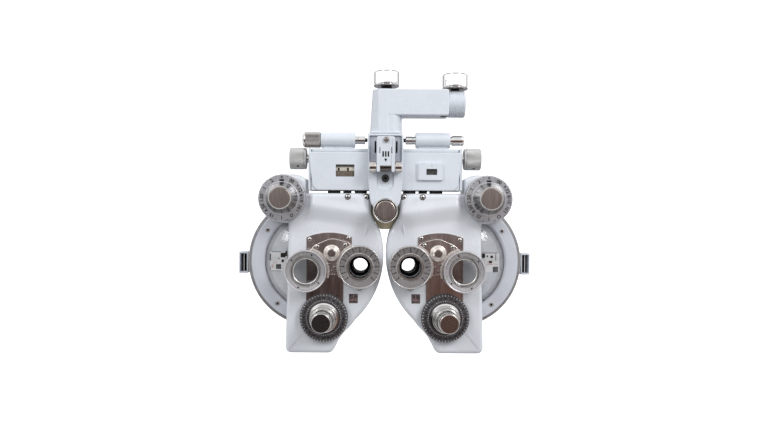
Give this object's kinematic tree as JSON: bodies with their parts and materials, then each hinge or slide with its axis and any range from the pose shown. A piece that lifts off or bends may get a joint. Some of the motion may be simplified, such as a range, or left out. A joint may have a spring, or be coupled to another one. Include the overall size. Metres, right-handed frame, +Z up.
{
  "type": "manual phoropter",
  "caption": "Manual refractor head on a support arm: two heads with lens discs, dials and swing-in lens units on a levelling crossbar.",
  "frame": {"origin": "centre of the mouth of the support arm's socket", "axes": "+X along the socket out of its mouth, +Z up, +Y towards the patient; the examiner's dials face -Y"},
  "size_m": [0.2954, 0.1054, 0.2779],
  "materials": {
    "white_enamel": "satin stoved enamel",
    "brushed": "fine brushed and lacquered",
    "chrome": "polished",
    "dial_grey": "anodised, engraved",
    "black_steel": "blackened",
    "mirror_plate": "polished plate",
    "khaki_metal": "satin",
    "clear": "clear",
    "black_plastic": "moulded"
  },
  "bodies": {
    "arm": {"support_arm": "white_enamel", "stand_collar": "white_enamel"},
    "column_knob": {"column_knob": "chrome"},
    "collar_knob": {"collar_knob": "chrome"},
    "hanger": {"hanger": "white_enamel", "hinge_pin": "chrome"},
    "rod_holder": {"rod_holder": "white_enamel"},
    "crossbar": {"crossbar": "white_enamel", "crossbar_covers": "white_enamel", "crossbar_windows": "clear", "rest_bracket": "khaki_metal"},
    "level_knob": {"level_knob": "brushed"},
    "level_rod": {"level_rod": "chrome"},
    "level_plunger": {"level_plunger": "chrome"},
    "pd_screw": {"pd_screw": "brushed"},
    "forehead_knob": {"forehead_knob": "brushed"},
    "forehead_rest": {"forehead_rest": "white_enamel"},
    "carriage_left": {"carriage_left": "black_steel"},
    "head_left": {"front_cover_left": "white_enamel", "rear_cover_left": "white_enamel", "drum_ring_left": "white_enamel", "drum_window_left": "clear", "shield_plate_left": "mirror_plate", "sight_left": "white_enamel", "face_shield_left": "black_plastic", "head_screws_left": "chrome"},
    "sphere_left": {"sphere_wheel_left": "brushed", "sphere_lenses_left": "clear"},
    "aux_dial_left": {"aux_dial_left": "brushed"},
    "aux_disc_left": {"aux_disc_left": "black_steel"},
    "turret_left": {"turret_left": "mirror_plate"},
    "prism_dial_left": {"prism_dial_left": "dial_grey"},
    "cross_ring_left": {"cross_ring_left": "chrome"},
    "axis_dial_left": {"axis_dial_left": "dial_grey"},
    "cyl_knob_left": {"cyl_knob_left": "chrome"},
    "cyl_disc_left": {"cyl_disc_left": "black_steel"},
    "cross_cell_left": {"cross_cell_left": "chrome", "cross_lens_left": "clear"},
    "carriage_right": {"carriage_right": "black_steel"},
    "head_right": {"front_cover_right": "white_enamel", "rear_cover_right": "white_enamel", "drum_ring_right": "white_enamel", "drum_window_right": "clear", "shield_plate_right": "mirror_plate", "sight_right": "white_enamel", "face_shield_right": "black_plastic", "head_screws_right": "chrome"},
    "sphere_right": {"sphere_wheel_right": "brushed", "sphere_lenses_right": "clear"},
    "aux_dial_right": {"aux_dial_right": "brushed"},
    "aux_disc_right": {"aux_disc_right": "black_steel"},
    "turret_right": {"turret_right": "mirror_plate"},
    "prism_dial_right": {"prism_dial_right": "dial_grey"},
    "cross_ring_right": {"cross_ring_right": "chrome"},
    "axis_dial_right": {"axis_dial_right": "dial_grey"},
    "cyl_knob_right": {"cyl_knob_right": "chrome"},
    "cyl_disc_right": {"cyl_disc_right": "black_steel"},
    "cross_cell_right": {"cross_cell_right": "chrome", "cross_lens_right": "clear"}
  },
  "joints": [
    {"name": "column_knob_turn", "type": "hinge", "parent": "arm", "child": "column_knob", "pos_m": [-0.077, 0, 0.0202], "axis": [0, 0, 1], "range_deg": [-180, 180]},
    {"name": "collar_knob_turn", "type": "hinge", "parent": "arm", "child": "collar_knob", "pos_m": [-0.00948, 0, 0.0202], "axis": [0, 0, 1], "range_deg": [-180, 180]},
    {"name": "hanger_swivel", "type": "hinge", "parent": "arm", "child": "hanger", "pos_m": [-0.077, 0, -0.0298], "axis": [0, 0, 1], "range_deg": [-90, 90]},
    {"name": "rod_holder_fold", "type": "hinge", "parent": "hanger", "child": "rod_holder", "pos_m": [-0.0778, -0.023, -0.0638], "axis": [1, 0, 0], "range_deg": [0, 90]},
    {"name": "level_tilt", "type": "hinge", "parent": "hanger", "child": "crossbar", "pos_m": [-0.0778, -0.004, -0.0743], "axis": [0, 1, 0], "range_deg": [-2.5, 2.5]},
    {"name": "level_rod_slide", "type": "slide", "parent": "crossbar", "child": "level_rod", "axis": [1, 0, 0], "range_m": [-0.0017, 0.0017]},
    {"name": "level_plunger_slide", "type": "slide", "parent": "crossbar", "child": "level_plunger", "axis": [1, 0, 0], "range_m": [-0.0017, 0.0017]},
    {"name": "level_knob_turn", "type": "hinge", "parent": "crossbar", "child": "level_knob", "pos_m": [-0.1478, 0.001, -0.0358], "axis": [1, 0, 0], "range_deg": [-606.8, 606.8]},
    {"name": "pd_slide", "type": "slide", "parent": "crossbar", "child": "carriage_right", "axis": [1, 0, 0], "range_m": [0, 0.0157]},
    {"name": "pd_slide_left", "type": "slide", "parent": "crossbar", "child": "carriage_left", "axis": [-1, 0, 0], "range_m": [0, 0.0157]},
    {"name": "pd_screw_turn", "type": "hinge", "parent": "crossbar", "child": "pd_screw", "pos_m": [-0.0778, 0.005, -0.0541], "axis": [1, 0, 0], "range_deg": [0, 708.5]},
    {"name": "forehead_slide", "type": "slide", "parent": "crossbar", "child": "forehead_rest", "axis": [0, 1, 0], "range_m": [0, 0.016]},
    {"name": "forehead_knob_turn", "type": "hinge", "parent": "crossbar", "child": "forehead_knob", "pos_m": [-0.0778, -0.024, -0.1058], "axis": [0, 1, 0], "range_deg": [0, 1442]},
    {"name": "converge_left", "type": "hinge", "parent": "carriage_left", "child": "head_left", "pos_m": [-0.1021, 0.001, -0.0998], "axis": [0, 0, 1], "range_deg": [0, 3.6]},
    {"name": "sphere_turn_left", "type": "hinge", "parent": "head_left", "child": "sphere_left", "pos_m": [-0.1487, 0.016, -0.1557], "axis": [0, 1, 0], "continuous": true},
    {"name": "aux_disc_turn_left", "type": "hinge", "parent": "head_left", "child": "aux_disc_left", "pos_m": [-0.1487, 0.024, -0.1557], "axis": [0, 1, 0], "continuous": true},
    {"name": "aux_dial_turn_left", "type": "hinge", "parent": "head_left", "child": "aux_dial_left", "pos_m": [-0.178, -0.012, -0.094], "axis": [0, 1, 0], "continuous": true},
    {"name": "cyl_disc_turn_left", "type": "hinge", "parent": "head_left", "child": "cyl_disc_left", "pos_m": [-0.1487, 0.01, -0.1557], "axis": [0, 1, 0], "continuous": true},
    {"name": "cyl_knob_turn_left", "type": "hinge", "parent": "head_left", "child": "cyl_knob_left", "pos_m": [-0.137, -0.004, -0.2102], "axis": [0, 1, 0], "continuous": true},
    {"name": "axis_turn_left", "type": "hinge", "parent": "head_left", "child": "axis_dial_left", "pos_m": [-0.137, -0.004, -0.2102], "axis": [0, 1, 0], "continuous": true},
    {"name": "turret_turn_left", "type": "hinge", "parent": "head_left", "child": "turret_left", "pos_m": [-0.1293, -0.013, -0.1467], "axis": [0, -1, 0], "range_deg": [0, 119]},
    {"name": "prism_turn_left", "type": "hinge", "parent": "turret_left", "child": "prism_dial_left", "pos_m": [-0.1021, -0.024, -0.1598], "axis": [0, 1, 0], "continuous": true},
    {"name": "cross_turn_left", "type": "hinge", "parent": "turret_left", "child": "cross_ring_left", "pos_m": [-0.15394, -0.024, -0.16414], "axis": [0, 1, 0], "continuous": true},
    {"name": "cross_flip_left", "type": "hinge", "parent": "cross_ring_left", "child": "cross_cell_left", "pos_m": [-0.15394, -0.02, -0.16414], "axis": [-0.3697, 0, 0.9291], "range_deg": [0, 180]},
    {"name": "converge_right", "type": "hinge", "parent": "carriage_right", "child": "head_right", "pos_m": [-0.0535, 0.001, -0.0998], "axis": [0, 0, -1], "range_deg": [0, 3.6]},
    {"name": "sphere_turn_right", "type": "hinge", "parent": "head_right", "child": "sphere_right", "pos_m": [-0.0069, 0.016, -0.1557], "axis": [0, 1, 0], "continuous": true},
    {"name": "aux_disc_turn_right", "type": "hinge", "parent": "head_right", "child": "aux_disc_right", "pos_m": [-0.0069, 0.024, -0.1557], "axis": [0, 1, 0], "continuous": true},
    {"name": "aux_dial_turn_right", "type": "hinge", "parent": "head_right", "child": "aux_dial_right", "pos_m": [0.0224, -0.012, -0.094], "axis": [0, 1, 0], "continuous": true},
    {"name": "cyl_disc_turn_right", "type": "hinge", "parent": "head_right", "child": "cyl_disc_right", "pos_m": [-0.0069, 0.01, -0.1557], "axis": [0, 1, 0], "continuous": true},
    {"name": "cyl_knob_turn_right", "type": "hinge", "parent": "head_right", "child": "cyl_knob_right", "pos_m": [-0.0186, -0.004, -0.2102], "axis": [0, 1, 0], "continuous": true},
    {"name": "axis_turn_right", "type": "hinge", "parent": "head_right", "child": "axis_dial_right", "pos_m": [-0.0186, -0.004, -0.2102], "axis": [0, 1, 0], "continuous": true},
    {"name": "turret_turn_right", "type": "hinge", "parent": "head_right", "child": "turret_right", "pos_m": [-0.0263, -0.013, -0.1467], "axis": [0, 1, 0], "range_deg": [0, 119]},
    {"name": "prism_turn_right", "type": "hinge", "parent": "turret_right", "child": "prism_dial_right", "pos_m": [-0.0535, -0.024, -0.1598], "axis": [0, 1, 0], "continuous": true},
    {"name": "cross_turn_right", "type": "hinge", "parent": "turret_right", "child": "cross_ring_right", "pos_m": [-0.00166, -0.024, -0.16414], "axis": [0, 1, 0], "continuous": true},
    {"name": "cross_flip_right", "type": "hinge", "parent": "cross_ring_right", "child": "cross_cell_right", "pos_m": [-0.00166, -0.02, -0.16414], "axis": [0.3697, 0, 0.9291], "range_deg": [0, 180]}
  ],
  "couplings": [
    {"joint": "level_rod_slide", "follows": "level_tilt", "m_per_rad": -0.0385},
    {"joint": "level_plunger_slide", "follows": "level_tilt", "m_per_rad": -0.0385},
    {"joint": "level_knob_turn", "follows": "level_tilt", "ratio": 241.9},
    {"joint": "pd_slide_left", "follows": "pd_slide", "ratio": 1},
    {"joint": "pd_screw_turn", "follows": "pd_slide", "rad_per_m": 785.4},
    {"joint": "forehead_knob_turn", "follows": "forehead_slide", "rad_per_m": 1570.8},
    {"joint": "aux_dial_turn_left", "follows": "aux_disc_turn_left", "ratio": 1},
    {"joint": "cyl_knob_turn_left", "follows": "cyl_disc_turn_left", "ratio": -2},
    {"joint": "aux_dial_turn_right", "follows": "aux_disc_turn_right", "ratio": 1},
    {"joint": "cyl_knob_turn_right", "follows": "cyl_disc_turn_right", "ratio": -2},
    {"joint": "converge_left", "follows": "converge_right", "ratio": 1}
  ]
}
